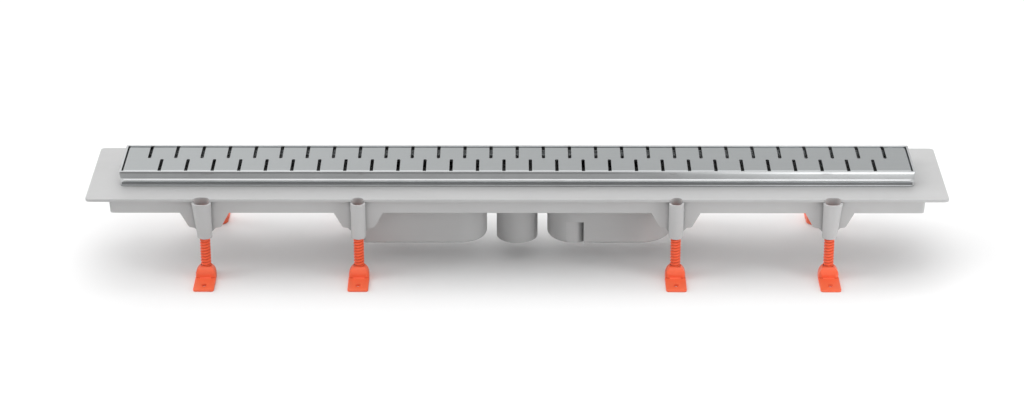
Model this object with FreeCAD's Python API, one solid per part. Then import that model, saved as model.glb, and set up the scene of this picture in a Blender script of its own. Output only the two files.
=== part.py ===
import FreeCAD, Part
import math
import os

os.makedirs("parts", exist_ok=True)

V = FreeCAD.Vector

# All sizes in mm. X runs along the channel, Y across it, Z up.
# Heights are modelled from the top face of the flange; FLANGE_Z lifts the
# finished pieces so that Z = 0 is the underside of the feet.
FLANGE_Z = 89.05
OVERCUT = 1.0

# grate frame
FRAME_L = 850.0
FRAME_W = 72.5
FRAME_H = 17.6
RIM_T = 2.3
RIM_EDGE = 0.35
LEDGE_Z = 9.1
SHEET_T = 1.5
LEDGE_IN = 8.0
LOCATE_IN = 6.4
LOCATE_DEEP = 5.0
FRAME_CORNER_R = 6.5
RIM_CORNER_R = 0.15
BEAD_Z = 6.9
BEAD_TOP = 9.0
BEAD_FOOT = 4.9
BEAD_IN = 0.1
LIP_IN = 0.75

# channel trough: the frame's locating edge drops into its opening
LOCATE_CLEAR = 0.2
OPEN_L = FRAME_L - 2 * (LOCATE_IN - LOCATE_CLEAR)
OPEN_W = FRAME_W - 2 * (LOCATE_IN - LOCATE_CLEAR)
OPEN_R = 3.0
WALL = 3.0
TROUGH_END_Z = -14.0
TROUGH_MID_Z = -24.0
TROUGH_FLAT_L = 360.0

# flange and skirt
SKIRT_OUT_L = 14.7
SKIRT_OUT_W = 35.95
SKIRT_L = OPEN_L + 2 * SKIRT_OUT_L
SKIRT_W = OPEN_W + 2 * SKIRT_OUT_W
SKIRT_H = 14.3
SKIRT_DRAFT = 1.0
SKIRT_R = 3.5
SKIRT_EDGE_R = 0.5
FLANGE_LAP_L = 24.5
FLANGE_LAP_W = 4.0
FLANGE_L = SKIRT_L + 2 * FLANGE_LAP_L
FLANGE_W = SKIRT_W + 2 * FLANGE_LAP_W
FLANGE_T = 3.3
FLANGE_R = 5.0
EDGE_R = 0.6
RIB_T = 2.0
RIB_DROP = 9.0
RIB_BITE = 0.5
RIB_XS = (84.0, 250.0)

# siphon housing, welded under the trough
# (sizes of the right-hand bowl; the left-hand one is it turned half round)
HOUSING_TOP = TROUGH_MID_Z - WALL
BOWL_IN_X = 32.8
BOWL_OUT_X = 167.0
BOWL_HALF_W = 37.0
BOWL_Z = -67.0
BOWL_SHOULDER_Z = -41.4
BOWL_CUP_X = 56.0
BOWL_CUP_R = 23.2
BOWL_CUP_IN = 1.5
BOWL_STEP_X = 71.6
BOWL_INNER_R = 30.0
BOWL_END_R = 36.5
BOWL_SMALL_R = 5.0
BOWL_FOOT_R = 4.5

# outlet socket and side ducts
OUT_R = 22.25
OUT_BORE_R = 20.15
OUT_Z = -73.0
OUT_EDGE_R = 0.8
OUT_LEAD = 1.0
OUT_LEAD_H = 1.5
OUT_STOP_Z = -40.0
OUT_STOP_R = 18.2
DUCT_HALF_W = 15.0
DUCT_Z = -38.0
DUCT_WALL = 2.5

# siphon inserts and their gaskets
PORT_L = 100.0
PORT_W = 44.0
PORT_R = 8.0
PORT_X = 101.0
PLATE_LAP_L = 6.0
PLATE_LAP_W = 5.0
PLATE_CORNER = 4.0
PLATE_T = 2.2
PLATE_EDGE_R = 0.6
GASKET_T = 1.6
GASKET_BACK = 0.5
GASKET_CLEAR = 0.2
COLLAR_CLEAR = 0.8
COLLAR_WALL = 1.6
COLLAR_DEEP = 6.0
DIP_R = 16.0
DIP_WALL = 1.6
DIP_Z = -57.0
DIP_X = 112.0
GRIP_X = 76.0
GRIP_H = 11.0
GRIP_L = 26.0
GRIP_R = 1.8
GRIP_BEND = 5.0
GRIP_ROOT = 0.3

# legs
LEG_END_IN = 101.2
LEG_OUTER_X = SKIRT_L / 2 - LEG_END_IN
LEG_INNER_X = 168.8
LEG_XS = (-LEG_OUTER_X, -LEG_INNER_X, LEG_INNER_X, LEG_OUTER_X)
LEG_OUT = 5.5
LEG_Y = SKIRT_W / 2 + LEG_OUT
TUBE_R = 7.9
TUBE_Z = -42.8
TUBE_FOOT_R = 0.5
TUBE_FLARE = 4.7
TUBE_FLARE_START = 3.0
FLARE_LEAST = 0.02
BORE_R = 6.2
GUIDE_R = 5.85
GUIDE_Z = -27.0
WEB_TOP = 26.0
WEB_KNEE = 17.0
WEB_TOE = 11.4
WEB_KNEE_Z = -34.1
WEB_TOE_Z = -35.0
WEB_FOOT_Z = -39.6
WEB_KNEE_R = 3.5
WEB_BITE = 1.0

# levelling screw and foot
SCREW_R = 5.5
SCREW_TOP_Z = -12.0
SCREW_EDGE = 0.7
SCREW_SLOT_W = 1.6
SCREW_SLOT_D = 3.0
SCREW_NECK_R = 3.6
SCREW_NECK_H = 2.4
SCREW_END_R = 4.6
SCREW_END_H = 2.2
SCREW_SEAT = 1.2
FOOT_CLEAR = 0.3
FOOT_PLATE_T = 2.6
FOOT_EDGE_R = 0.6
FOOT_TIP = 39.3
FOOT_SIDE_END = 5.0
FOOT_TIP_HW = 10.9
FOOT_SIDE_HW = 11.1
FOOT_CORNER_R = 3.2
DOME_R = 10.7
DOME_CENTRE_H = 4.9
DOME_NECK_R = 6.4
BOSS_CORNER_R = 4.5
CREASE_R = 1.3
HOLE_OUT = 28.3
HOLE_R = 3.1

# slotted grate
GRATE_TOP = 17.0
GRATE_T = 1.5
GRATE_GAP_X = 0.7
GRATE_GAP_Y = 1.3
GRATE_CORNER_R = 2.5
GRATE_BEND_R = 2.2
SLOT_W = 3.6
SLOT_PITCH = 28.34
REAR_SLOTS = 29
FRONT_SLOTS = 28
SLOT_MID = 1.4
SLOT_DEEP = 5.5


def rect_prism(x0, x1, y0, y1, z0, z1):
    return Part.makeBox(x1 - x0, y1 - y0, z1 - z0, V(x0, y0, z0))


def arc3(a, b, c):
    return Part.Arc(V(*a), V(*b), V(*c)).toShape()


def round_rect_wire(x0, x1, y0, y1, z, radii):
    """Rectangle with its own radius at each corner: low-low, high-low, high-high, low-high."""
    r0, r1, r2, r3 = radii
    edges = []

    def side(a, b):
        if (a - b).Length > 1e-6:
            edges.append(Part.makeLine(a, b))

    def corner(cx, cy, r, a0, a1):
        if r == 0:
            return
        am = math.radians((a0 + a1) / 2.0)
        a0 = math.radians(a0)
        a1 = math.radians(a1)
        pts = [(cx + r * math.cos(a), cy + r * math.sin(a), z) for a in (a0, am, a1)]
        edges.append(arc3(*pts))

    side(V(x0 + r0, y0, z), V(x1 - r1, y0, z))
    corner(x1 - r1, y0 + r1, r1, -90, 0)
    side(V(x1, y0 + r1, z), V(x1, y1 - r2, z))
    corner(x1 - r2, y1 - r2, r2, 0, 90)
    side(V(x1 - r2, y1, z), V(x0 + r3, y1, z))
    corner(x0 + r3, y1 - r3, r3, 90, 180)
    side(V(x0, y1 - r3, z), V(x0, y0 + r0, z))
    corner(x0 + r0, y0 + r0, r0, 180, 270)
    return Part.Wire(edges)


def round_prism(x0, x1, y0, y1, z0, z1, radii):
    if not isinstance(radii, tuple):
        radii = (radii, radii, radii, radii)
    face = Part.Face(round_rect_wire(x0, x1, y0, y1, z0, radii))
    return face.extrude(V(0, 0, z1 - z0))


def centred_prism(length, width, z0, z1, r):
    return round_prism(-length / 2, length / 2, -width / 2, width / 2, z0, z1, r)


def cylinder(x, y, r, z0, z1):
    return Part.makeCylinder(r, z1 - z0, V(x, y, z0), V(0, 0, 1))


def fuse(shapes):
    return shapes[0].fuse(shapes[1:]).removeSplitter()


def edges_at(shape, z, tol=0.01):
    picked = []
    for e in shape.Edges:
        b = e.BoundBox
        if abs(b.ZMin - z) < tol and abs(b.ZMax - z) < tol:
            picked.append(e)
    return picked


def half_turn(shape):
    return shape.rotated(V(0, 0, 0), V(0, 0, 1), 180)


def raised(shape):
    return shape.translated(V(0, 0, FLANGE_Z))


def save(shape, name):
    raised(shape).exportStep("parts/" + name + ".step")


# ---------------------------------------------------------------- channel body

def flange():
    plate = centred_prism(FLANGE_L, FLANGE_W, -FLANGE_T, 0, FLANGE_R)
    return plate.makeFillet(EDGE_R, edges_at(plate, 0) + edges_at(plate, -FLANGE_T))


def skirt():
    top = round_rect_wire(-SKIRT_L / 2, SKIRT_L / 2, -SKIRT_W / 2, SKIRT_W / 2,
                          -FLANGE_T, (SKIRT_R,) * 4)
    d = SKIRT_DRAFT
    low = round_rect_wire(-SKIRT_L / 2 + d, SKIRT_L / 2 - d, -SKIRT_W / 2, SKIRT_W / 2,
                          -FLANGE_T - SKIRT_H, (SKIRT_R,) * 4)
    outer = Part.makeLoft([top, low], True, True)
    outer = outer.makeFillet(SKIRT_EDGE_R, edges_at(outer, -FLANGE_T - SKIRT_H))
    inner = centred_prism(SKIRT_L - 2 * WALL - 2 * d, SKIRT_W - 2 * WALL,
                          -FLANGE_T - SKIRT_H - OVERCUT, -FLANGE_T, SKIRT_R - WALL)
    return outer.cut(inner)


def trough_profile(drop, grow):
    half = OPEN_L / 2 + grow
    flat = TROUGH_FLAT_L / 2
    pts = [
        V(-half, 0, 0),
        V(-half, 0, TROUGH_END_Z - drop),
        V(-flat, 0, TROUGH_MID_Z - drop),
        V(flat, 0, TROUGH_MID_Z - drop),
        V(half, 0, TROUGH_END_Z - drop),
        V(half, 0, 0),
        V(-half, 0, 0),
    ]
    return Part.Face(Part.makePolygon(pts))


def trough_outer():
    face = trough_profile(WALL, WALL)
    half = OPEN_W / 2 + WALL
    return face.translated(V(0, -half, 0)).extrude(V(0, 2 * half, 0))


def trough_inner():
    face = trough_profile(0, 0)
    half = OPEN_W / 2
    body = face.translated(V(0, -half, 0)).extrude(V(0, 2 * half, 0))
    corners = centred_prism(OPEN_L, OPEN_W, TROUGH_MID_Z - OVERCUT, 0, OPEN_R)
    mouth = centred_prism(OPEN_L, OPEN_W, -OVERCUT, OVERCUT, OPEN_R)
    return body.common(corners).fuse(mouth)


def web_profile(x, y):
    """Stiffening web that carries one leg tube, in the plane of the skirt."""
    top = -FLANGE_T - SKIRT_H
    pts = [
        V(x - WEB_TOP, y, top + WALL),
        V(x - WEB_TOP, y, top),
        V(x - WEB_KNEE, y, WEB_KNEE_Z),
        V(x - WEB_TOE, y, WEB_TOE_Z),
        V(x - TUBE_R + WEB_BITE, y, WEB_FOOT_Z),
        V(x + TUBE_R - WEB_BITE, y, WEB_FOOT_Z),
        V(x + WEB_TOE, y, WEB_TOE_Z),
        V(x + WEB_KNEE, y, WEB_KNEE_Z),
        V(x + WEB_TOP, y, top),
        V(x + WEB_TOP, y, top + WALL),
        V(x - WEB_TOP, y, top + WALL),
    ]
    return Part.Face(Part.makePolygon(pts))


def web(x, side):
    y0 = side * (SKIRT_W / 2 - WALL)
    slab = web_profile(x, y0).extrude(V(0, side * WALL, 0))
    knees = []
    for e in slab.Edges:
        b = e.BoundBox
        at_knee = abs(abs(b.XMin - x) - WEB_KNEE) < 0.01 and abs(b.XMax - b.XMin) < 0.01
        if at_knee and abs(b.ZMin - WEB_KNEE_Z) < 0.01 and abs(b.ZMax - WEB_KNEE_Z) < 0.01:
            knees.append(e)
    return slab.makeFillet(WEB_KNEE_R, knees)


def oblong_wire(x, y, z, r, reach):
    """Circle of radius r drawn out along X by reach (signed)."""
    s = 1.0 if reach >= 0 else -1.0
    far = x + reach
    edges = [
        Part.makeLine(V(x, y - s * r, z), V(far, y - s * r, z)),
        arc3((far, y - s * r, z), (far + s * r, y, z), (far, y + s * r, z)),
        Part.makeLine(V(far, y + s * r, z), V(x, y + s * r, z)),
        arc3((x, y + s * r, z), (x - s * r, y, z), (x, y - s * r, z)),
    ]
    return Part.Wire(edges)


def outer_reach(x):
    if abs(x) < LEG_OUTER_X:
        return 0.0
    return math.copysign(TUBE_FLARE, x)


def tube_solid(x, y):
    reach = outer_reach(x)
    base = cylinder(x, y, TUBE_R, TUBE_Z, -FLANGE_T)
    base = base.makeFillet(TUBE_FOOT_R, edges_at(base, TUBE_Z))
    if reach == 0:
        return base
    low = oblong_wire(x, y, TUBE_Z + TUBE_FLARE_START, TUBE_R, reach * FLARE_LEAST)
    top = oblong_wire(x, y, -FLANGE_T, TUBE_R, reach)
    return base.fuse(Part.makeLoft([low, top], True, True))


def tube_bore(x, y):
    reach = outer_reach(x)
    guide = cylinder(x, y, GUIDE_R, TUBE_Z - OVERCUT, GUIDE_Z + OVERCUT)
    socket = cylinder(x, y, BORE_R, GUIDE_Z, OVERCUT)
    if reach == 0:
        return guide.fuse(socket)
    rise = (GUIDE_Z - TUBE_Z) / -TUBE_Z
    low = oblong_wire(x, y, GUIDE_Z, BORE_R, reach * rise)
    top = oblong_wire(x, y, OVERCUT, BORE_R, reach)
    return guide.fuse([socket, Part.makeLoft([low, top], True, True)])


def bowl_upper(grow, z0, z1):
    r = BOWL_INNER_R + grow
    e = BOWL_END_R + grow
    s = max(BOWL_SMALL_R + grow, 1.0)
    return round_prism(BOWL_IN_X - grow, BOWL_OUT_X + grow, -BOWL_HALF_W - grow,
                       BOWL_HALF_W + grow, z0, z1, (r, e, s, r))


def bowl_notch(grow):
    """Recess beside the return well: everything in front of the well's round wall."""
    far_x = BOWL_IN_X - BOWL_CUP_R
    far_y = -BOWL_HALF_W - BOWL_CUP_R
    block = rect_prism(far_x, BOWL_STEP_X - grow, far_y, -BOWL_HALF_W + BOWL_CUP_R,
                       BOWL_Z - OVERCUT, BOWL_SHOULDER_Z - grow)
    well_y = -BOWL_HALF_W + BOWL_CUP_R + BOWL_CUP_IN
    well = cylinder(BOWL_CUP_X, well_y, BOWL_CUP_R + grow,
                    BOWL_Z - 2 * OVERCUT, BOWL_SHOULDER_Z - grow + OVERCUT)
    return block.cut(well)


def bowl_outer():
    body = bowl_upper(0, BOWL_Z, HOUSING_TOP)
    body = body.makeFillet(BOWL_FOOT_R, edges_at(body, BOWL_Z))
    return body.cut(bowl_notch(0))


def bowl_inner():
    body = bowl_upper(-WALL, BOWL_Z + WALL, HOUSING_TOP + OVERCUT)
    return body.cut(bowl_notch(-WALL))


def outlet_outer():
    pipe = cylinder(0, 0, OUT_R, OUT_Z, HOUSING_TOP)
    pipe = pipe.makeFillet(OUT_EDGE_R, edges_at(pipe, OUT_Z))
    end = BOWL_IN_X + WALL
    duct = rect_prism(-end, end, -DUCT_HALF_W, DUCT_HALF_W, DUCT_Z, HOUSING_TOP)
    return [pipe, duct]


def outlet_inner():
    top = HOUSING_TOP + OVERCUT
    bore = cylinder(0, 0, OUT_BORE_R, OUT_Z - OVERCUT, OUT_STOP_Z)
    throat = cylinder(0, 0, OUT_STOP_R, OUT_STOP_Z - OVERCUT, top)
    lead = Part.makeCone(OUT_BORE_R + OUT_LEAD, OUT_BORE_R, OUT_LEAD_H, V(0, 0, OUT_Z), V(0, 0, 1))
    end = BOWL_IN_X + WALL + OVERCUT
    half = DUCT_HALF_W - DUCT_WALL
    duct = rect_prism(-end, end, -half, half, DUCT_Z + DUCT_WALL, top)
    return [bore, throat, lead, duct]


def siphon_housing():
    """Both bowls, the ducts between them and the outlet socket, open to the trough above."""
    solids = [bowl_outer(), half_turn(bowl_outer())] + outlet_outer()
    cuts = [bowl_inner(), half_turn(bowl_inner())] + outlet_inner()
    return fuse(solids).cut(cuts).removeSplitter()


def port_plate():
    """Widens the trough's floor to the outline of a bowl, which is welded to it."""
    return bowl_upper(0, HOUSING_TOP, TROUGH_MID_Z)


def port():
    half_l = PORT_L / 2
    half_w = PORT_W / 2
    return round_prism(PORT_X - half_l, PORT_X + half_l, -half_w, half_w,
                       HOUSING_TOP - OVERCUT, TROUGH_MID_Z + OVERCUT, PORT_R)


def ribs():
    out = []
    y0 = OPEN_W / 2 + WALL - RIB_BITE
    y1 = SKIRT_W / 2 - WALL + RIB_BITE
    for x in RIB_XS:
        for cx in (-x, x):
            x0 = cx - RIB_T / 2
            x1 = cx + RIB_T / 2
            out.append(rect_prism(x0, x1, y0, y1, -FLANGE_T - RIB_DROP, -FLANGE_T + RIB_BITE))
            out.append(rect_prism(x0, x1, -y1, -y0, -FLANGE_T - RIB_DROP, -FLANGE_T + RIB_BITE))
    return out


def legs():
    return [(x, side * LEG_Y, side) for side in (-1, 1) for x in LEG_XS]


def channel_body():
    solids = [flange(), skirt(), trough_outer(), port_plate(), half_turn(port_plate())]
    solids += ribs()
    for x, y, side in legs():
        solids.append(tube_solid(x, y))
        solids.append(web(x, side))
    cuts = [trough_inner(), port(), half_turn(port())]
    cuts += [tube_bore(x, y) for x, y, side in legs()]
    return fuse(solids).cut(cuts).removeSplitter()


# ------------------------------------------------------------- siphon inserts

def port_outline(lap_l, lap_w, z0, z1, r):
    """Prism over the port: lap_l and lap_w are how far it stands past the port's sides."""
    half_l = PORT_L / 2 + lap_l
    half_w = PORT_W / 2 + lap_w
    return round_prism(PORT_X - half_l, PORT_X + half_l, -half_w, half_w, z0, z1, r)


def collar(z):
    """Short wall that centres the insert in the port, up to height z."""
    gap = -COLLAR_CLEAR
    low = TROUGH_MID_Z - COLLAR_DEEP
    outer = port_outline(gap, gap, low, z + GRIP_ROOT, PORT_R + gap)
    gap -= COLLAR_WALL
    inner = port_outline(gap, gap, low - OVERCUT, z, PORT_R + gap)
    return outer.cut(inner)


def insert():
    z = TROUGH_MID_Z + GASKET_T
    top = z + PLATE_T
    plate = port_outline(PLATE_LAP_L, PLATE_LAP_W, z, top, PORT_R + PLATE_CORNER)
    plate = plate.makeFillet(PLATE_EDGE_R, edges_at(plate, top))
    dip = cylinder(DIP_X, 0, DIP_R + DIP_WALL, DIP_Z, z + GRIP_ROOT)
    body = fuse([plate, collar(z), dip])
    body = body.cut(cylinder(DIP_X, 0, DIP_R, DIP_Z - OVERCUT, top + OVERCUT))
    return body.fuse(grip(top - GRIP_ROOT)).removeSplitter()


def grip(z):
    half = GRIP_L / 2
    top = z + GRIP_H
    bend = GRIP_BEND
    x = GRIP_X
    k = bend * (1 - math.sqrt(0.5))
    path = Part.Wire([
        Part.makeLine(V(x, -half, z), V(x, -half, top - bend)),
        arc3((x, -half, top - bend), (x, -half + k, top - k), (x, -half + bend, top)),
        Part.makeLine(V(x, -half + bend, top), V(x, half - bend, top)),
        arc3((x, half - bend, top), (x, half - k, top - k), (x, half, top - bend)),
        Part.makeLine(V(x, half, top - bend), V(x, half, z)),
    ])
    circle = Part.Wire([Part.makeCircle(GRIP_R, V(x, -half, z), V(0, 0, 1))])
    return path.makePipeShell([circle], True, True)


def gasket():
    z0 = TROUGH_MID_Z
    z1 = z0 + GASKET_T
    ring = port_outline(PLATE_LAP_L - GASKET_BACK, PLATE_LAP_W - GASKET_BACK, z0, z1,
                        PORT_R + PLATE_CORNER - GASKET_BACK)
    hole = port_outline(GASKET_CLEAR, GASKET_CLEAR, z0 - OVERCUT, z1 + OVERCUT, PORT_R)
    return ring.cut(hole)


# ------------------------------------------------------ levelling screw, foot

def floor_z():
    return -FLANGE_Z


def dome_top():
    h = math.sqrt(DOME_R ** 2 - DOME_NECK_R ** 2)
    return floor_z() + DOME_CENTRE_H + h


def screw_seat():
    """Underside of the screw's end button inside the foot."""
    return floor_z() + FOOT_PLATE_T + SCREW_SEAT


def shank_start():
    return screw_seat() + SCREW_END_H + SCREW_NECK_H


def levelling_screw(x, y):
    z0 = screw_seat()
    z1 = z0 + SCREW_END_H
    z2 = shank_start()
    button = cylinder(x, y, SCREW_END_R, z0, z1)
    neck = cylinder(x, y, SCREW_NECK_R, z0, z2 + SCREW_EDGE)
    shank = cylinder(x, y, SCREW_R, z2, SCREW_TOP_Z)
    shank = shank.makeFillet(SCREW_EDGE, edges_at(shank, SCREW_TOP_Z))
    body = fuse([button, neck, shank])
    reach = SCREW_R + OVERCUT
    slot = rect_prism(x - reach, x + reach, y - SCREW_SLOT_W / 2, y + SCREW_SLOT_W / 2,
                      SCREW_TOP_Z - SCREW_SLOT_D, SCREW_TOP_Z + OVERCUT)
    return body.cut(slot)


def foot_plate():
    """Flat sole of a foot, pointing to -Y, with the screw's axis at the origin."""
    z = floor_z()
    pts = [
        V(-FOOT_SIDE_HW, -FOOT_SIDE_END, z),
        V(-FOOT_TIP_HW, -FOOT_TIP, z),
        V(FOOT_TIP_HW, -FOOT_TIP, z),
        V(FOOT_SIDE_HW, -FOOT_SIDE_END, z),
        V(-FOOT_SIDE_HW, -FOOT_SIDE_END, z),
    ]
    plate = Part.Face(Part.makePolygon(pts)).extrude(V(0, 0, FOOT_PLATE_T))
    upright = [e for e in plate.Edges if e.BoundBox.ZLength > FOOT_PLATE_T / 2]
    plate = plate.makeFillet(FOOT_CORNER_R, upright)
    return plate.makeFillet(FOOT_EDGE_R, edges_at(plate, z + FOOT_PLATE_T))


def arch():
    """Face in the XZ plane: straight sides from the floor, then half a circle over them."""
    z = floor_z()
    zc = z + DOME_CENTRE_H
    r = DOME_R
    edges = [
        Part.makeLine(V(-r, 0, zc), V(-r, 0, z)),
        Part.makeLine(V(-r, 0, z), V(r, 0, z)),
        Part.makeLine(V(r, 0, z), V(r, 0, zc)),
        arc3((r, 0, zc), (0, 0, zc + r), (-r, 0, zc)),
    ]
    return Part.Face(Part.Wire(edges))


def foot_boss():
    """Ball-shaped behind; its front is flat across, with rounded shoulders and corners."""
    z = floor_z()
    zc = z + DOME_CENTRE_H
    r = DOME_R
    back = cylinder(0, 0, r, z, zc).fuse(Part.makeSphere(r, V(0, 0, zc), V(0, 0, 1), 0, 90, 360))
    along = arch().translated(V(0, -r, 0)).extrude(V(0, r, 0))
    across = arch().rotated(V(0, 0, 0), V(0, 0, 1), 90).translated(V(-r, 0, 0)).extrude(V(2 * r, 0, 0))
    plan = round_prism(-r, r, -r, 0, z, zc + r, (BOSS_CORNER_R, BOSS_CORNER_R, 0, 0))
    front = along.common(across).common(plan)
    return back.fuse(front).common(cylinder(0, 0, 2 * r, z, dome_top()))


def crease():
    """Hollow fillet where the front of the boss meets the sole."""
    z = floor_z() + FOOT_PLATE_T
    y = -DOME_R
    k = CREASE_R * (1 - math.sqrt(0.5))
    half = DOME_R - BOSS_CORNER_R
    edges = [
        Part.makeLine(V(-half, y - CREASE_R, z), V(-half, y, z)),
        Part.makeLine(V(-half, y, z), V(-half, y, z + CREASE_R)),
        arc3((-half, y, z + CREASE_R), (-half, y - k, z + k), (-half, y - CREASE_R, z)),
    ]
    return Part.Face(Part.Wire(edges)).extrude(V(2 * half, 0, 0))


def foot_cavity():
    z0 = screw_seat() - FOOT_CLEAR
    z1 = z0 + SCREW_END_H + 2 * FOOT_CLEAR
    top = dome_top() + OVERCUT
    button = cylinder(0, 0, SCREW_END_R + FOOT_CLEAR, z0, z1)
    neck = cylinder(0, 0, SCREW_NECK_R + FOOT_CLEAR, z0, top)
    shank = cylinder(0, 0, SCREW_R + FOOT_CLEAR, shank_start() - FOOT_CLEAR, top)
    return [button, neck, shank]


def levelling_foot():
    body = fuse([foot_plate(), foot_boss(), crease()])
    z = floor_z()
    hole = cylinder(0, -HOLE_OUT, HOLE_R, z - OVERCUT, z + FOOT_PLATE_T + OVERCUT)
    return body.cut(foot_cavity() + [hole]).removeSplitter()


# ---------------------------------------------------------------- grate frame

def frame_section(sign):
    """Section of the long side at X = 0; d is measured inward from the outer face."""
    def p(d, z):
        return V(0, sign * (FRAME_W / 2 - d), z)

    edges = []

    def line(a, b):
        edges.append(Part.makeLine(p(*a), p(*b)))

    def bow(a, b, c):
        edges.append(Part.Arc(p(*a), p(*b), p(*c)).toShape())

    t = SHEET_T
    e = RIM_EDGE
    k = e * (1 - math.sqrt(0.5))
    wall_in = RIM_T + t
    line((e, FRAME_H), (RIM_T - e, FRAME_H))
    bow((RIM_T - e, FRAME_H), (RIM_T - k, FRAME_H - k), (RIM_T, FRAME_H - e))
    line((RIM_T, FRAME_H - e), (RIM_T, LEDGE_Z))
    line((RIM_T, LEDGE_Z), (LEDGE_IN, LEDGE_Z))
    line((LEDGE_IN, LEDGE_Z), (LEDGE_IN, LEDGE_Z - t))
    line((LEDGE_IN, LEDGE_Z - t), (wall_in, LEDGE_Z - t))
    line((wall_in, LEDGE_Z - t), (wall_in, t))
    line((wall_in, t), (LEDGE_IN, t))
    line((LEDGE_IN, t), (LEDGE_IN, -LOCATE_DEEP))
    line((LEDGE_IN, -LOCATE_DEEP), (LOCATE_IN, -LOCATE_DEEP))
    line((LOCATE_IN, -LOCATE_DEEP), (LOCATE_IN, 0))
    line((LOCATE_IN, 0), (LIP_IN, 0))
    line((LIP_IN, 0), (LIP_IN, t - e))
    bow((LIP_IN, t - e), (LIP_IN + k, t - k), (LIP_IN + e, t))
    line((LIP_IN + e, t), (RIM_T, t))
    neck = BEAD_FOOT - RIM_T + LIP_IN
    line((RIM_T, t), (RIM_T, neck))
    bow((RIM_T, neck), (RIM_T - e, (neck + BEAD_FOOT) / 2), (RIM_T / 2, BEAD_FOOT))
    bow((RIM_T / 2, BEAD_FOOT), (BEAD_IN, BEAD_Z), (2 * e, BEAD_TOP))
    line((2 * e, BEAD_TOP), (e, BEAD_TOP + e))
    bow((e, BEAD_TOP + e), (k / 2, (BEAD_TOP + FRAME_H) / 2), (0, FRAME_H - e))
    bow((0, FRAME_H - e), (k, FRAME_H - k), (e, FRAME_H))
    return Part.Face(Part.Wire(Part.__sortEdges__(edges)))


def frame_envelope():
    """Rim corners are mitred sharp; below the bead the corners are rounded in plan."""
    hl = FRAME_L / 2
    hw = FRAME_W / 2
    z = BEAD_TOP
    low = round_prism(-hl, hl, -hw, hw, 0, z, FRAME_CORNER_R)
    a = round_rect_wire(-hl, hl, -hw, hw, z, (FRAME_CORNER_R,) * 4)
    b = round_rect_wire(-hl, hl, -hw, hw, FRAME_H, (RIM_CORNER_R,) * 4)
    edge = LOCATE_IN * 2
    locate = centred_prism(FRAME_L - edge, FRAME_W - edge, -LOCATE_DEEP, 0, OPEN_R - LOCATE_CLEAR)
    return fuse([low, Part.makeLoft([a, b], True, True), locate])


def mitre(pts):
    """Keeps what lies over the outline pts, from under the frame to above it."""
    low = -LOCATE_DEEP - OVERCUT
    outline = [V(x, y, low) for x, y in pts + pts[:1]]
    return Part.Face(Part.makePolygon(outline)).extrude(V(0, 0, FRAME_H + OVERCUT - low))


def frame_front():
    hl = FRAME_L / 2
    hw = FRAME_W / 2
    bar = frame_section(-1).translated(V(-hl, 0, 0)).extrude(V(FRAME_L, 0, 0))
    return bar.common(mitre([(-hl, -hw), (hl, -hw), (hl - hw, 0), (-hl + hw, 0)]))


def frame_left():
    hl = FRAME_L / 2
    hw = FRAME_W / 2
    end = frame_section(-1).translated(V(0, hw - hl, 0)).rotated(V(0, 0, 0), V(0, 0, 1), -90)
    bar = end.translated(V(0, -hw, 0)).extrude(V(0, FRAME_W, 0))
    return bar.common(mitre([(-hl, -hw), (-hl + hw, 0), (-hl, hw)]))


def grate_frame():
    front = frame_front()
    left = frame_left()
    ring = fuse([front, half_turn(front), left, half_turn(left)])
    return ring.common(frame_envelope()).removeSplitter()


# -------------------------------------------------------------- slotted grate

def slot_xs(count):
    return [(i - (count - 1) / 2.0) * SLOT_PITCH for i in range(count)]


def slot_cut(x, side):
    """Slot from near the middle of the grate out over its bent edge."""
    r = SLOT_W / 2
    y0 = side * (SLOT_MID + r)
    y1 = side * (FRAME_W / 2)
    z0 = GRATE_TOP - SLOT_DEEP
    z1 = GRATE_TOP + OVERCUT
    a = min(y0, y1)
    b = max(y0, y1)
    return rect_prism(x - r, x + r, a, b, z0, z1).fuse(cylinder(x, y0, r, z0, z1))


def slotted_grate():
    hl = FRAME_L / 2 - RIM_T - GRATE_GAP_X
    hw = FRAME_W / 2 - RIM_T - GRATE_GAP_Y
    outer = centred_prism(2 * hl, 2 * hw, LEDGE_Z, GRATE_TOP, GRATE_CORNER_R)
    outer = outer.makeFillet(GRATE_BEND_R, edges_at(outer, GRATE_TOP))
    t = GRATE_T
    inner = centred_prism(2 * (hl - t), 2 * (hw - t), LEDGE_Z - OVERCUT, GRATE_TOP - t,
                          GRATE_CORNER_R - t)
    inner = inner.makeFillet(GRATE_BEND_R - t, edges_at(inner, GRATE_TOP - t))
    shell = outer.cut(inner)
    slots = [slot_cut(x, 1) for x in slot_xs(REAR_SLOTS)]
    slots += [slot_cut(x, -1) for x in slot_xs(FRONT_SLOTS)]
    return shell.cut(slots)


# --------------------------------------------------------------------- export

def main():
    save(channel_body(), "channel_body")
    save(siphon_housing(), "siphon_housing")
    save(grate_frame(), "grate_frame")
    save(slotted_grate(), "slotted_grate")
    save(insert(), "siphon_insert_right")
    save(half_turn(insert()), "siphon_insert_left")
    save(gasket(), "insert_seal_right")
    save(half_turn(gasket()), "insert_seal_left")
    foot = levelling_foot()
    for row, side in (("front", -1), ("back", 1)):
        for i, x in enumerate(LEG_XS):
            name = "%s_%d" % (row, i + 1)
            y = side * LEG_Y
            save(levelling_screw(x, y), "levelling_screw_" + name)
            placed = foot if side < 0 else half_turn(foot)
            save(placed.translated(V(x, y, 0)), "levelling_foot_" + name)


main()
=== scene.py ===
import math

import bpy
from bpy.props import FloatProperty, FloatVectorProperty, IntProperty, PointerProperty
from mathutils import Matrix, Vector


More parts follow.
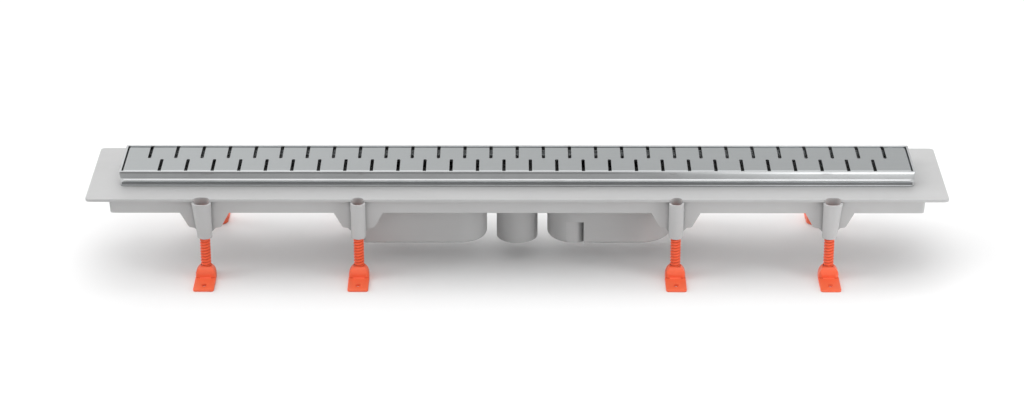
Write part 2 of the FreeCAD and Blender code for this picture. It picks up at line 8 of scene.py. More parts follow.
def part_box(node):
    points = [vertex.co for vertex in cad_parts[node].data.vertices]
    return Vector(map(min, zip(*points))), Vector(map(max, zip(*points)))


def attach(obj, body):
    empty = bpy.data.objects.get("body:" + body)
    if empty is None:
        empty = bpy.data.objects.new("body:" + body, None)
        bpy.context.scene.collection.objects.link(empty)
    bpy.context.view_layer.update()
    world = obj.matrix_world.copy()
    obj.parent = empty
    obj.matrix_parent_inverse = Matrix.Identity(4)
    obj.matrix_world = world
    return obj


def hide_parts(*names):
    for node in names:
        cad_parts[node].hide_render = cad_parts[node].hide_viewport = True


bl_info = {
    "name": "Channel drain finish",
    "version": (1, 0, 0),
    "blender": (4, 5, 0),
    "location": "3D View > Sidebar > Channel drain",
    "description": "Screw threads, plastics, steels, floor, lights and camera for a linear shower drain",
    "category": "Object",
}

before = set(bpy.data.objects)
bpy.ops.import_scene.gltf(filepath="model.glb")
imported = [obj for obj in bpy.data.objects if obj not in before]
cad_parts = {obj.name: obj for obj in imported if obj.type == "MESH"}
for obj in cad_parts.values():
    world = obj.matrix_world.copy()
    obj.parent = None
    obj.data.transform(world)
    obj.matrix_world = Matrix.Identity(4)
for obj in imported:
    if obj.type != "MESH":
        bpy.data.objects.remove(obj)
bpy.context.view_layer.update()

MM = 0.001
ROWS = ("front", "back")
LEGS = (1, 2, 3, 4)
LAMP_AIM = Vector((0, 0, 0.05))
FLOOR_SIZE = 60

# The screws below the thread: a thin neck that ends in a button, held in the foot.
NECK_R = 3.6 * MM
NECK_H = 2.4 * MM
BUTTON_R = 4.6 * MM
BUTTON_H = 2.2 * MM
DRIVER_SLOT_W = 1.6 * MM
DRIVER_SLOT_D = 3.0 * MM

# Heights on the grate frame, measured up from its foot.
FRAME_H = 17.6 * MM
RECESS = (1.5 * MM, 4.6 * MM)
RECESS_ROUGHNESS = 0.3

# Stretches along the channel, from its middle, over which painted light changes: the frame's painted
# reflection brightens towards the right end, and the floor as the steel mirrors it goes from painted
# shade to a painted glow.
PAINTED_BRIGHT_END = (0.15, 0.30)
FLOOR_PAINTED_SHADE = (0.10, 0.36)
FLOOR_PAINTED_GLOW = (0.12, 0.34)
FLOOR_PAINTED_GLOW_STRENGTH = 0.28

# Directions over which the greyer panel at the rear fades in, across and behind.
PANEL_ACROSS = (-0.085, -0.02)
PANEL_BEHIND = (0.1, 0.4)

# Painted reflection on the frame, with painted highlights on the bead, lip and rim and painted shade in
# the recess: grey levels as (height in mm, level) pairs, left and middle, then right end.
PAINTED_REFLECTION = (((0.0, 0.36), (0.5, 0.38), (0.8, 0.64), (1.4, 0.64), (1.6, 0.31), (3.9, 0.31), (4.4, 1.0),
           (7.4, 1.0), (8.3, 0.90), (8.8, 0.70), (9.2, 0.52), (16.3, 0.52), (17.0, 0.64)),
          ((0.0, 0.54), (0.5, 0.54), (0.8, 0.92), (1.4, 0.92), (1.6, 0.33), (3.6, 0.33), (4.1, 1.0),
           (8.4, 0.92), (9.0, 0.72), (9.8, 0.84), (12.0, 0.92), (16.3, 0.94), (17.0, 0.68)))


# ------------------------------------------------------------------ settings

class ThreadSettings(bpy.types.PropertyGroup):
    """Sizes of the coarse moulded thread on the levelling screws."""
    pitch: FloatProperty(
        name="Pitch", description="Rise of the thread in one turn",
        default=3.4 * MM, min=0.5 * MM, max=8 * MM, unit="LENGTH", precision=5)
    depth: FloatProperty(
        name="Depth", description="Height of the thread from root to crest",
        default=1.5 * MM, min=0.1 * MM, max=2 * MM, unit="LENGTH", precision=5)
    crest: FloatProperty(
        name="Crest width", description="Flat on top of the thread",
        default=1.1 * MM, min=0.1 * MM, max=4 * MM, unit="LENGTH", precision=5)
    root: FloatProperty(
        name="Root width", description="Flat at the bottom of the groove",
        default=0.8 * MM, min=0.1 * MM, max=4 * MM, unit="LENGTH", precision=5)
    steps: IntProperty(
        name="Steps", description="Segments in one turn of the thread",
        default=48, min=12, max=96)


class FinishSettings(bpy.types.PropertyGroup):
    """Colours of the drain's materials."""
    moulding: FloatVectorProperty(
        name="Moulding", description="Pale grey plastic of the channel body",
        default=(0.50, 0.50, 0.50), subtype="COLOR", min=0, max=1)
    orange: FloatVectorProperty(
        name="Legs", description="Orange plastic of the feet and screws",
        default=(1.0, 0.16, 0.066), subtype="COLOR", min=0, max=1)
    frame_steel: FloatVectorProperty(
        name="Frame steel", description="Polished stainless steel of the grate frame",
        default=(0.93, 0.95, 0.96), subtype="COLOR", min=0, max=1)
    grate_steel: FloatVectorProperty(
        name="Grate steel", description="Brushed stainless steel of the grate",
        default=(0.47, 0.49, 0.495), subtype="COLOR", min=0, max=1)
    insert: FloatVectorProperty(
        name="Insert", description="Dark plastic of the siphon inserts",
        default=(0.045, 0.045, 0.05), subtype="COLOR", min=0, max=1)
    rubber: FloatVectorProperty(
        name="Rubber", description="Rubber of the insert seals",
        default=(0.012, 0.012, 0.012), subtype="COLOR", min=0, max=1)


class StageSettings(bpy.types.PropertyGroup):
    """Floor, lights and camera."""
    floor: FloatVectorProperty(
        name="Floor", description="Pale floor and backdrop",
        default=(0.92, 0.92, 0.92), subtype="COLOR", min=0, max=1)
    sky: FloatProperty(
        name="Sky", description="Strength of the even light from all round",
        default=0.45, min=0, max=3)
    overhead: FloatProperty(
        name="Overhead lamp", description="Strength of the wide lamp above",
        default=0.96, min=0, max=20)
    rear: FloatProperty(
        name="Rear lamp", description="Strength of the wide lamp behind the drain",
        default=1.146, min=0, max=20)
    side: FloatProperty(
        name="Side lamp", description="Watts of the low softbox at the front right",
        default=12.0, min=0, max=200, unit="POWER")
    left: FloatProperty(
        name="Left lamp", description="Strength of the wide lamp at the left end",
        default=1.144, min=0, max=20)
    # Painted shade on the floor in reflections: share of its colour kept at the left.
    tone: FloatProperty(
        name="Floor tone", description="Share of the floor's colour that the steel mirrors at the left",
        default=0.32, min=0, max=1)
    panel: FloatProperty(
        name="Rear panel", description="Strength of the greyer panel mirrored by the grate",
        default=0.72, min=0, max=1)
    lens: FloatProperty(
        name="Lens", description="Focal length of the camera in millimetres",
        default=105.27, min=10, max=300)
    elevation: FloatProperty(
        name="Elevation", description="Angle at which the camera looks down",
        default=math.radians(24.0), subtype="ANGLE", unit="ROTATION")
    heading: FloatProperty(
        name="Heading", description="Small turn of the camera round the drain",
        default=math.radians(0.10), subtype="ANGLE", unit="ROTATION")
    distance: FloatProperty(
        name="Distance", description="From the camera to the point it looks at",
        default=3.2495, min=0.1, max=20, unit="LENGTH")
    aim_x: FloatProperty(
        name="Aim along the channel", description="Offset of the point looked at",
        default=-5.6 * MM, unit="LENGTH", precision=5)
    aim_z: FloatProperty(
        name="Aim height", description="Height of the point looked at, above the floor",
        default=51.55 * MM, unit="LENGTH", precision=5)


# ------------------------------------------------------------ modelling tools

def deselect_everything():
    if bpy.context.object is not None and bpy.context.object.mode != "OBJECT":
        bpy.ops.object.mode_set(mode="OBJECT")
    bpy.ops.object.select_all(action="DESELECT")


def start(name):
    """Names the primitive just added, and its mesh."""
    piece = bpy.context.object
    piece.name = name
    piece.data.name = name
    return piece


def only(piece):
    """Leaves the piece as the one selected, active object."""
    deselect_everything()
    piece.select_set(True)
    bpy.context.view_layer.objects.active = piece


def edit(piece, mode):
    """Edit mode with one kind of element picked and nothing selected."""
    only(piece)
    bpy.ops.object.mode_set(mode="EDIT")
    bpy.ops.mesh.select_mode(type=mode)
    bpy.ops.mesh.select_all(action="DESELECT")


def leave():
    bpy.ops.object.mode_set(mode="OBJECT")


def select_faces(piece, test):
    """Selects the faces whose centre and normal pass the test, from edit mode and back to it."""
    bpy.ops.object.mode_set(mode="OBJECT")
    for face in piece.data.polygons:
        face.select = test(face.center, face.normal)
    bpy.ops.object.mode_set(mode="EDIT")


def settle(piece):
    """Puts the piece's place into its mesh."""
    only(piece)
    bpy.ops.object.transform_apply(location=True, rotation=True, scale=True)


def apply_modifiers(piece):
    """Bakes the piece's modifiers into its mesh, in their order."""
    only(piece)
    for modifier in list(piece.modifiers):
        bpy.ops.object.modifier_apply(modifier=modifier.name)


def face_outwards(piece):
    """Merges the doubles, then turns every face outwards."""
    edit(piece, "VERT")
    bpy.ops.mesh.select_all(action="SELECT")
    bpy.ops.mesh.remove_doubles(threshold=MM / 1000)
    bpy.ops.mesh.normals_make_consistent(inside=False)
    leave()


def copy_to(piece, name, offset):
    """A copy with its own mesh, moved by offset inside it; it keeps the marks of the piece copied."""
    twin = piece.copy()
    twin.data = piece.data.copy()
    twin.name = name
    twin.data.name = name
    bpy.context.collection.objects.link(twin)
    twin.data.transform(Matrix.Translation(offset))
    return twin


def finish_piece(piece, node, body, material):
    """Shades and dresses a new piece, which then stands for its node and rides on its body."""
    only(piece)
    bpy.ops.object.shade_smooth_by_angle(angle=math.radians(35))
    piece.data.materials.clear()
    piece.data.materials.append(material)
    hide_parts(node)
    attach(piece, body)


# ------------------------------------------------------------ material tools

def new_material(name):
    """An empty material with its shader, or the one made before, without tree and shader."""
    old = bpy.data.materials.get(name)
    if old is not None:
        return old, None, None
    material = bpy.data.materials.new(name)
    material.use_nodes = True
    tree = material.node_tree
    tree.nodes.clear()
    out = tree.nodes.new("ShaderNodeOutputMaterial")
    shader = tree.nodes.new("ShaderNodeBsdfPrincipled")
    tree.links.new(shader.outputs["BSDF"], out.inputs["Surface"])
    return material, tree, shader


def object_space(tree, stretch=(1, 1, 1)):
    """Object coordinates, multiplied by stretch."""
    place = tree.nodes.new("ShaderNodeTexCoord")
    mapping = tree.nodes.new("ShaderNodeMapping")
    mapping.inputs["Scale"].default_value = stretch
    tree.links.new(place.outputs["Object"], mapping.inputs["Vector"])
    return mapping.outputs["Vector"]


def noise(tree, space, scale, detail, rough):
    node = tree.nodes.new("ShaderNodeTexNoise")
    node.inputs["Scale"].default_value = scale
    node.inputs["Detail"].default_value = detail
    node.inputs["Roughness"].default_value = rough
    tree.links.new(space, node.inputs["Vector"])
    return node.outputs["Fac"]


def remap(tree, value, low, high, out_low, out_high):
    node = tree.nodes.new("ShaderNodeMapRange")
    node.inputs["From Min"].default_value = low
    node.inputs["From Max"].default_value = high
    node.inputs["To Min"].default_value = out_low
    node.inputs["To Max"].default_value = out_high
    tree.links.new(value, node.inputs["Value"])
    return node.outputs["Result"]


def product(tree, a, b):
    node = tree.nodes.new("ShaderNodeMath")
    node.operation = "MULTIPLY"
    tree.links.new(a, node.inputs[0])
    tree.links.new(b, node.inputs[1])
    return node.outputs[0]


def shaded(tree, factor, dark, light):
    """Colour that runs from dark to light with the factor."""
    node = tree.nodes.new("ShaderNodeMix")
    node.data_type = "RGBA"
    node.inputs["A"].default_value = (*dark, 1)
    node.inputs["B"].default_value = (*light, 1)
    tree.links.new(factor, node.inputs["Factor"])
    return node.outputs["Result"]


def bump(tree, height, distance, strength, normal=None):
    node = tree.nodes.new("ShaderNodeBump")
    node.inputs["Distance"].default_value = distance
    node.inputs["Strength"].default_value = strength
    tree.links.new(height, node.inputs["Height"])
    if normal is not None:
        tree.links.new(normal, node.inputs["Normal"])
    return node.outputs["Normal"]


def mixed(tree, factor, a, b):
    """Colour that runs from socket a to socket b with the factor."""
    mix = tree.nodes.new("ShaderNodeMix")
    mix.data_type = "RGBA"
    tree.links.new(factor, mix.inputs["Factor"])
    tree.links.new(a, mix.inputs["A"])
    tree.links.new(b, mix.inputs["B"])
    return mix.outputs["Result"]


def multiplied(tree, a, b):
    """Colour a times colour b."""
    mix = tree.nodes.new("ShaderNodeMix")
    mix.data_type = "RGBA"
    mix.blend_type = "MULTIPLY"
    mix.inputs["Factor"].default_value = 1.0
    tree.links.new(a, mix.inputs["A"])
    tree.links.new(b, mix.inputs["B"])
    return mix.outputs["Result"]


def xyz(tree, space):
    """The three coordinates of a point, as outputs X, Y and Z."""
    split = tree.nodes.new("ShaderNodeSeparateXYZ")
    tree.links.new(space, split.inputs[0])
    return split.outputs


def painted_crevice_shade(tree, colour, reach, dark):
    """Colour with painted shade, which deepens in grooves and corners narrower than reach."""
    node = tree.nodes.new("ShaderNodeAmbientOcclusion")
    node.samples = 8
    node.inputs["Distance"].default_value = reach
    open_air = remap(tree, node.outputs["AO"], 0.2, 0.75, 0.0, 1.0)
    return multiplied(tree, colour, shaded(tree, open_air, (dark, dark, dark), (1, 1, 1)))


def scaled(colour, k):
    """The colour times k, at most white."""
    return tuple(min(1.0, c * k) for c in colour)


# ------------------------------------------------------------------ materials

def moulded_plastic(name, colour, rough, glow=0.0, groove=None):
    """Injection-moulded plastic: faint flow shading, fine spark-eroded grain, soft sheen.

    glow is the share of light scattered inside, and groove the (reach, dark) of the painted shade in
    narrow corners and grooves.
    """
    material, tree, shader = new_material(name)
    if tree is None:
        return material
    space = object_space(tree)
    flow = noise(tree, object_space(tree, (0.35, 1.0, 1.0)), 22.0, 3.0, 0.55)
    shade = remap(tree, flow, 0.3, 0.7, 0.0, 1.0)
    tone = shaded(tree, shade, scaled(colour, 0.965), scaled(colour, 1.02))
    # Painted shade: the colour darkens in grooves and corners, following ambient occlusion.
    if groove is not None:
        tone = painted_crevice_shade(tree, tone, *groove)
    tree.links.new(tone, shader.inputs["Base Color"])
    handled = noise(tree, space, 140.0, 4.0, 0.6)
    tree.links.new(remap(tree, handled, 0.3, 0.7, rough - 0.05, rough + 0.06),
                   shader.inputs["Roughness"])
    fine = noise(tree, space, 2600.0, 2.0, 0.5)
    sink = noise(tree, space, 60.0, 1.0, 0.4)
    tree.links.new(bump(tree, fine, 0.04 * MM, 0.6, bump(tree, sink, 0.12 * MM, 0.35)),
                   shader.inputs["Normal"])
    shader.inputs["Specular IOR Level"].default_value = 0.42
    if glow > 0:
        shader.inputs["Subsurface Weight"].default_value = glow
        shader.inputs["Subsurface Radius"].default_value = (0.9, 0.35, 0.15)
        shader.inputs["Subsurface Scale"].default_value = 1.5 * MM
    return material


def orange_plastic(context):
    """The one orange of the feet and the screws, with painted shade in the thread's grooves and other
    narrow corners.
    """
    colour = context.scene.drain_finish.orange
    return moulded_plastic("orange_moulding", colour, 0.34, glow=0.08, groove=(1.8 * MM, 0.15))


def painted_levels_by_height(tree, share, levels):
    """Painted reflection grey level that follows the height, given as a share of the frame's."""
    node = tree.nodes.new("ShaderNodeValToRGB")
    stops = node.color_ramp.elements
    stops.remove(stops[1])
    for i, (height, level) in enumerate(levels):
        position = height * MM / FRAME_H
        stop = stops[0] if i == 0 else stops.new(position)
        stop.position = position
        stop.color = (level, level, level, 1)
    tree.links.new(share, node.inputs["Fac"])
    return node.outputs["Color"]


def polished_steel(name, colour, foot):
    """Polished stainless steel with faint draw lines and painted reflection, brighter at the right end;
    the recess under the bead is rougher and has painted shade.
    """
    material, tree, shader = new_material(name)
    if tree is None:
        return material
    space = object_space(tree)
    drawn = noise(tree, object_space(tree, (2.0, 90.0, 90.0)), 14.0, 4.0, 0.6)
    tint = remap(tree, noise(tree, space, 30.0, 3.0, 0.5), 0.3, 0.7, 0.0, 1.0)
    bare = shaded(tree, tint, scaled(colour, 0.95), scaled(colour, 1.03))
    place = xyz(tree, space)
    share = remap(tree, place["Z"], foot, foot + FRAME_H, 0.0, 1.0)
    painted_bright_end = remap(tree, place["X"], *PAINTED_BRIGHT_END, 0.0, 1.0)
    # Painted reflection: painted highlights and painted shade by height, and a painted brighter right
    # end.
    painted_reflection = mixed(tree, painted_bright_end, *(painted_levels_by_height(tree, share, levels) for levels in PAINTED_REFLECTION))
    tree.links.new(multiplied(tree, bare, painted_reflection), shader.inputs["Base Color"])
    low, high = (foot + height for height in RECESS)
    over = remap(tree, place["Z"], low - 0.2 * MM, low + 0.1 * MM, 0.0, 1.0)
    under = remap(tree, place["Z"], high - 0.3 * MM, high + 0.3 * MM, 1.0, 0.0)
    rough = tree.nodes.new("ShaderNodeMath")
    rough.operation = "MULTIPLY_ADD"
    tree.links.new(product(tree, over, under), rough.inputs[0])
    rough.inputs[1].default_value = RECESS_ROUGHNESS
    tree.links.new(remap(tree, drawn, 0.3, 0.7, 0.12, 0.18), rough.inputs[2])
    tree.links.new(rough.outputs[0], shader.inputs["Roughness"])
    tree.links.new(bump(tree, drawn, 0.01 * MM, 0.3), shader.inputs["Normal"])
    shader.inputs["Metallic"].default_value = 1.0
    return material


def brushed_steel(name, colour):
    """Sheet brushed along its length: fine streaks in colour, gloss and height."""
    material, tree, shader = new_material(name)
    if tree is None:
        return material
    streak = noise(tree, object_space(tree, (1.0, 70.0, 70.0)), 30.0, 6.0, 0.65)
    fine = noise(tree, object_space(tree, (4.0, 320.0, 320.0)), 24.0, 4.0, 0.6)
    tint = remap(tree, streak, 0.3, 0.7, 0.0, 1.0)
    tree.links.new(shaded(tree, tint, scaled(colour, 0.94), scaled(colour, 1.04)),
                   shader.inputs["Base Color"])
    tree.links.new(remap(tree, fine, 0.3, 0.7, 0.30, 0.40), shader.inputs["Roughness"])
    tree.links.new(bump(tree, fine, 0.012 * MM, 0.4), shader.inputs["Normal"])
    shader.inputs["Metallic"].default_value = 1.0
    return material


def soft_rubber(name, colour):
    """Moulded rubber with a pale bloom in patches."""
    material, tree, shader = new_material(name)
    if tree is None:
        return material
    space = object_space(tree)
    bloom = remap(tree, noise(tree, space, 90.0, 4.0, 0.6), 0.35, 0.7, 0.0, 1.0)
    tree.links.new(shaded(tree, bloom, colour, scaled(colour, 2.2)), shader.inputs["Base Color"])
    tree.links.new(remap(tree, bloom, 0, 1, 0.62, 0.80), shader.inputs["Roughness"])
    grain = noise(tree, space, 900.0, 2.0, 0.5)
    tree.links.new(bump(tree, grain, 0.04 * MM, 0.5), shader.inputs["Normal"])
    return material


def dress(node, material):
    """Gives a CAD node its material."""
    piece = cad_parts[node]
    if not piece.material_slots:
        piece.data.materials.append(material)
    for s in piece.material_slots:
        s.material = material


def leg_names():
    """Ends of the names of the eight legs' nodes and bodies."""
    return ["%s_%d" % (row, leg) for row in ROWS for leg in LEGS]


# --------------------------------------------------------------- the screws

def thread_outline(piece, low, settings, crest_r):
    """Pulls one vertex into the outline of a single thread, root to root."""
    flank = (settings.pitch - settings.crest - settings.root) / 2
    root_r = crest_r - settings.depth
    edit(piece, "VERT")
    bpy.ops.mesh.select_all(action="SELECT")
    bpy.ops.mesh.merge(type="CENTER")
    bpy.ops.transform.translate(value=(root_r, 0, low))
    for step in (
        (0, 0, settings.root),
        (settings.depth, 0, flank),
        (0, 0, settings.crest),
        (-settings.depth, 0, flank),
    ):
        bpy.ops.mesh.extrude_region_move(TRANSFORM_OT_translate={"value": step})
    leave()


def threaded_screw(name, box_low, box_high, settings):
    """One levelling screw: thread wound from its outline, ends trimmed, slot and button added."""
    crest_r = (box_high.x - box_low.x) / 2
    centre = (box_low + box_high) / 2
    shank = box_low.z + BUTTON_H + NECK_H
    turns = math.ceil((box_high.z - shank) / settings.pitch) + 2
    deselect_everything()
    bpy.ops.mesh.primitive_plane_add(size=MM)
    piece = start(name)
    thread_outline(piece, shank - settings.pitch, settings, crest_r)
    wind = piece.modifiers.new("Wind", "SCREW")
    wind.axis = "Z"
    wind.angle = math.tau
    wind.screw_offset = settings.pitch
    wind.iterations = turns
    wind.steps = settings.steps
    wind.render_steps = settings.steps
    wind.use_merge_vertices = False
    apply_modifiers(piece)
    face_outwards(piece)
    for height, keep_below in ((shank, False), (box_high.z, True)):
        edit(piece, "VERT")
        bpy.ops.mesh.select_all(action="SELECT")
        bpy.ops.mesh.bisect(
            plane_co=(0, 0, height), plane_no=(0, 0, 1), use_fill=True,
            clear_outer=keep_below, clear_inner=not keep_below)
        leave()
    draw_neck_and_button(piece, shank, crest_r)
    cut_slot(piece, box_high.z, crest_r)
    piece.data.transform(Matrix.Translation((centre.x, centre.y, 0)))
    return piece


def draw_neck_and_button(piece, shank, crest_r):
    """Neck and end button, drawn down from the lower end of the shank."""
    edit(piece, "FACE")
    select_faces(piece, lambda centre, normal: normal.z < -0.9 and abs(centre.z - shank) < MM / 100)
    bpy.ops.mesh.inset(thickness=crest_r * 0.85 - NECK_R, depth=0)
    bpy.ops.mesh.extrude_region_move(TRANSFORM_OT_translate={"value": (0, 0, -NECK_H)})
    bpy.ops.mesh.extrude_region_move(TRANSFORM_OT_translate={"value": (0, 0, 0)})
    widen = BUTTON_R / NECK_R
    bpy.ops.transform.resize(value=(widen, widen, 1), center_override=(0, 0, shank - NECK_H))
    bpy.ops.mesh.extrude_region_move(TRANSFORM_OT_translate={"value": (0, 0, -BUTTON_H)})
    leave()


def cut_slot(piece, top, crest_r):
    """Driver slot across the upper end."""
    deselect_everything()
    bpy.ops.mesh.primitive_cube_add(size=1.0, location=(0, 0, top))
    cutter = start("slot_cutter")
    bpy.ops.transform.resize(value=(4 * crest_r, DRIVER_SLOT_W, 2 * DRIVER_SLOT_D))
    settle(cutter)
    cut = piece.modifiers.new("Slot", "BOOLEAN")
    cut.operation = "DIFFERENCE"
    cut.object = cutter
    cut.solver = "EXACT"
    apply_modifiers(piece)
    bpy.data.objects.remove(cutter, do_unlink=True)


class DRAIN_OT_levelling_screws(bpy.types.Operator):
    """Winds the coarse thread of the eight levelling screws."""
    bl_idname = "drain.levelling_screws"
    bl_label = "Levelling screws"
    bl_options = {"REGISTER", "UNDO"}

    def execute(self, context):
        settings = context.scene.drain_thread
        orange = orange_plastic(context)
        names = leg_names()
        first_low, first_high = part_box("levelling_screw_" + names[0])
        model = threaded_screw("screw_" + names[0], first_low, first_high, settings)
        for name in names:
            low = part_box("levelling_screw_" + name)[0]
            offset = low - first_low
            piece = model if name == names[0] else copy_to(model, "screw_" + name, offset)
            finish_piece(piece, "levelling_screw_" + name, "screw_" + name, orange)
        return {"FINISHED"}


# ------------------------------------------------------------ finished nodes

class DRAIN_OT_channel_body(bpy.types.Operator):
    """Pale grey moulded plastic for the channel body and the housing welded under it."""
    bl_idname = "drain.channel_body"
    bl_label = "Channel body"
    bl_options = {"REGISTER", "UNDO"}

    def execute(self, context):
        colour = context.scene.drain_finish.moulding
        # Painted shade darkens the grey in corners and grooves narrower than 8 mm.
        grey = moulded_plastic("grey_moulding", colour, 0.46, groove=(8 * MM, 0.50))
        for node in ("channel_body", "siphon_housing"):
            dress(node, grey)
        return {"FINISHED"}


class DRAIN_OT_grate_frame(bpy.types.Operator):
    """Polished stainless steel for the grate frame."""
    bl_idname = "drain.grate_frame"
    bl_label = "Grate frame"
    bl_options = {"REGISTER", "UNDO"}

    def execute(self, context):
        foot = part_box("grate_frame")[1].z - FRAME_H
        steel = polished_steel("mirror_steel", context.scene.drain_finish.frame_steel, foot)
        dress("grate_frame", steel)
        return {"FINISHED"}


class DRAIN_OT_slotted_grate(bpy.types.Operator):
    """Brushed stainless steel for the slotted grate."""
    bl_idname = "drain.slotted_grate"
    bl_label = "Slotted grate"
    bl_options = {"REGISTER", "UNDO"}

    def execute(self, context):
        steel = brushed_steel("satin_steel", context.scene.drain_finish.grate_steel)
        dress("slotted_grate", steel)
        return {"FINISHED"}


class DRAIN_OT_levelling_feet(bpy.types.Operator):
    """Orange moulded plastic for the eight feet."""
    bl_idname = "drain.levelling_feet"
    bl_label = "Levelling feet"
    bl_options = {"REGISTER", "UNDO"}

    def execute(self, context):
        orange = orange_plastic(context)
        for name in leg_names():
            dress("levelling_foot_" + name, orange)
        return {"FINISHED"}


class DRAIN_OT_siphon_inserts(bpy.types.Operator):
    """Dark plastic and rubber for the siphon inserts and their seals."""
    bl_idname = "drain.siphon_inserts"
    bl_label = "Siphon inserts"
    bl_options = {"REGISTER", "UNDO"}

    def execute(self, context):
        finish = context.scene.drain_finish
        dark = moulded_plastic("insert_moulding", finish.insert, 0.40)
        rubber = soft_rubber("gasket_rubber", finish.rubber)
        for side in ("left", "right"):
            dress("siphon_insert_" + side, dark)
            dress("insert_seal_" + side, rubber)
        return {"FINISHED"}


# --------------------------------------------------------------------- stage

def floor_material(colour, tone):
    """Pale paper. In the steel's reflections it has painted shade at the left and middle and a painted
    glow at the right end.
    """
    material, tree, shader = new_material("studio_floor")
    if tree is None:
        return material
    space = object_space(tree)
    along = xyz(tree, space)["X"]
    mirrored = tree.nodes.new("ShaderNodeLightPath").outputs["Is Glossy Ray"]
    paper = shaded(tree, noise(tree, space, 3.0, 2.0, 0.5), scaled(colour, 0.995), colour)
    # Painted shade: the floor as mirrored by the steel is darkened towards the left.
    grey = shaded(tree, remap(tree, along, *FLOOR_PAINTED_SHADE, tone, 1.0), (0, 0, 0), colour)
    tree.links.new(mixed(tree, mirrored, paper, grey), shader.inputs["Base Color"])
    # Painted glow: the floor as mirrored by the steel emits light towards the right end.
    glow = remap(tree, along, *FLOOR_PAINTED_GLOW, 0.0, FLOOR_PAINTED_GLOW_STRENGTH)
    tree.links.new(product(tree, glow, mirrored), shader.inputs["Emission Strength"])
    shader.inputs["Emission Color"].default_value = (1, 1, 1, 1)
    shader.inputs["Roughness"].default_value = 0.9
    shader.inputs["Specular IOR Level"].default_value = 0.1
    return material


def studio_floor(colour, tone):
    """Level floor, wide enough to reach the horizon in every view."""
    deselect_everything()
    bpy.ops.mesh.primitive_grid_add(x_subdivisions=2, y_subdivisions=2, size=1.0)
    floor = start("studio_floor")
    bpy.ops.transform.resize(value=(FLOOR_SIZE, FLOOR_SIZE, 1))
    settle(floor)
    floor.data.materials.append(floor_material(colour, tone))


def sky_light(tree, strength):
    """White background light whose strength is a number or a socket."""
    light = tree.nodes.new("ShaderNodeBackground")
    light.inputs["Color"].default_value = (1, 1, 1, 1)
    if isinstance(strength, float):
        light.inputs["Strength"].default_value = strength
    else:
        tree.links.new(strength, light.inputs["Strength"])
    return light.outputs[0]


def studio_world(strength, shade):
    """Even light all round; white to the camera; mirrored with a greyer panel at the rear."""
    world = bpy.data.worlds.new("studio_sky")
    bpy.context.scene.world = world
    world.use_nodes = True
    tree = world.node_tree
    tree.nodes.clear()
    out = tree.nodes.new("ShaderNodeOutputWorld")
    place = tree.nodes.new("ShaderNodeTexCoord")
    direction = xyz(tree, place.outputs["Generated"])
    across = remap(tree, direction["X"], *PANEL_ACROSS, 0.0, 1.0)
    behind = remap(tree, direction["Y"], *PANEL_BEHIND, 0.0, 1.0)
    panel = remap(tree, product(tree, across, behind), 0.0, 1.0, 1.0, shade)
    path = tree.nodes.new("ShaderNodeLightPath")
    mirrored = tree.nodes.new("ShaderNodeMath")
    mirrored.operation = "MAXIMUM"
    tree.links.new(path.outputs["Is Glossy Ray"], mirrored.inputs[0])
    tree.links.new(path.outputs["Is Transmission Ray"], mirrored.inputs[1])
    surface = sky_light(tree, strength)
    for seen, fac in ((panel, mirrored.outputs[0]), (1.0, path.outputs["Is Camera Ray"])):
        mix = tree.nodes.new("ShaderNodeMixShader")
        tree.links.new(fac, mix.inputs["Fac"])
        tree.links.new(surface, mix.inputs[1])
        tree.links.new(sky_light(tree, seen), mix.inputs[2])
        surface = mix.outputs[0]
    tree.links.new(surface, out.inputs["Surface"])


def sun(name, strength, towards, spread, mirrored=True):
    """Wide even lamp whose light travels along the given direction."""
    deselect_everything()
    bpy.ops.object.light_add(type="SUN", location=(0, 0, 3))
    lamp = bpy.context.object
    lamp.name = name
    lamp.data.energy = strength
    lamp.data.angle = math.radians(spread)
    lamp.visible_glossy = mirrored
    lamp.rotation_euler = Vector(towards).to_track_quat("-Z", "Y").to_euler()


def softbox(name, watts, place, size):
    """Square lamp turned towards the middle of the drain, and not seen in the steel."""
    deselect_everything()
    bpy.ops.object.light_add(type="AREA", location=place)
    lamp = bpy.context.object
    lamp.name = name
    lamp.visible_glossy = False
    lamp.data.energy = watts
    lamp.data.size = size
    lamp.rotation_euler = (LAMP_AIM - Vector(place)).to_track_quat("-Z", "Y").to_euler()


def studio_camera(stage):
    """Camera that looks down at the drain from the front."""
    deselect_everything()
    aim = Vector((stage.aim_x, 0, stage.aim_z))
    flat = math.cos(stage.elevation) * stage.distance
    place = aim + Vector((flat * math.sin(stage.heading), -flat * math.cos(stage.heading),
                          stage.distance * math.sin(stage.elevation)))
    bpy.ops.object.camera_add(location=place)
    camera = bpy.context.object
    camera.name = "studio_camera"
    camera.rotation_euler = (aim - place).to_track_quat("-Z", "Y").to_euler()
    camera.data.sensor_width = 36.0
    camera.data.lens = stage.lens
    camera.data.clip_end = 100.0
    bpy.context.scene.camera = camera


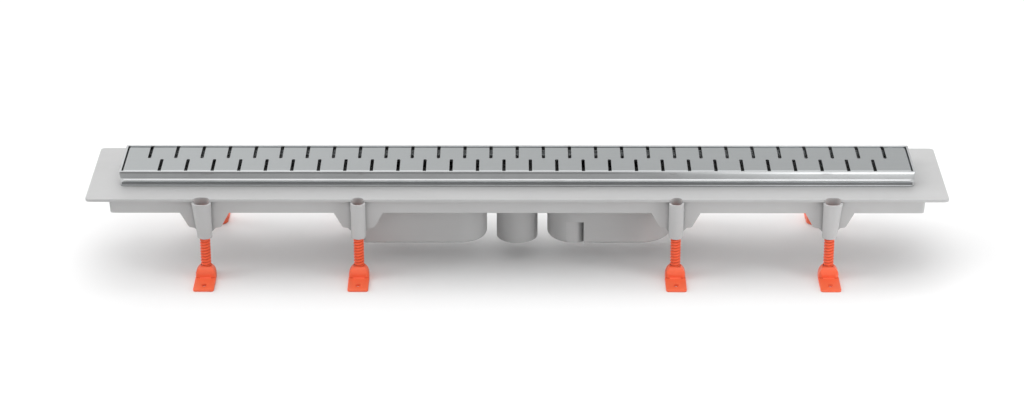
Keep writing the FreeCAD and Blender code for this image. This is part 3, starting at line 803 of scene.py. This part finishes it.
class DRAIN_OT_stage(bpy.types.Operator):
    """Pale floor, soft studio light and the camera."""
    bl_idname = "drain.stage"
    bl_label = "Stage"
    bl_options = {"REGISTER", "UNDO"}

    def execute(self, context):
        stage = context.scene.drain_stage
        context.scene.view_settings.view_transform = "Standard"
        studio_floor(stage.floor, stage.tone)
        studio_world(stage.sky, stage.panel)
        sun("overhead_lamp", stage.overhead, (0.0, 0.05, -1.0), 75.0)
        sun("rear_lamp", stage.rear, (0.0, -0.9, -0.8), 60.0, mirrored=False)
        sun("left_lamp", stage.left, (1.0, 0.0, -0.6), 50.0, mirrored=False)
        softbox("side_lamp", stage.side, (1.9, -1.0, 0.45), 0.9)
        studio_camera(stage)
        return {"FINISHED"}


# --------------------------------------------------------------------- panel

STEPS = (
    DRAIN_OT_channel_body,
    DRAIN_OT_grate_frame,
    DRAIN_OT_slotted_grate,
    DRAIN_OT_siphon_inserts,
    DRAIN_OT_levelling_feet,
    DRAIN_OT_levelling_screws,
    DRAIN_OT_stage,
)


class DRAIN_PT_panel(bpy.types.Panel):
    """Lists the steps that dress the drain."""
    bl_idname = "DRAIN_PT_panel"
    bl_label = "Channel drain"
    bl_space_type = "VIEW_3D"
    bl_region_type = "UI"
    bl_category = "Channel drain"

    def draw(self, context):
        for step in STEPS:
            self.layout.operator(step.bl_idname)


SETTINGS = (
    ("drain_thread", ThreadSettings),
    ("drain_finish", FinishSettings),
    ("drain_stage", StageSettings),
)
CLASSES = tuple(group for _, group in SETTINGS) + STEPS + (DRAIN_PT_panel,)


def register():
    for cls in CLASSES:
        bpy.utils.register_class(cls)
    for name, group in SETTINGS:
        setattr(bpy.types.Scene, name, PointerProperty(type=group))


def unregister():
    for name, _ in SETTINGS:
        delattr(bpy.types.Scene, name)
    for cls in reversed(CLASSES):
        bpy.utils.unregister_class(cls)


def main():
    register()
    bpy.ops.drain.channel_body()
    bpy.ops.drain.grate_frame()
    bpy.ops.drain.slotted_grate()
    bpy.ops.drain.siphon_inserts()
    bpy.ops.drain.levelling_feet()
    bpy.ops.drain.levelling_screws()
    bpy.ops.drain.stage()


if __name__ == "__main__":
    main()
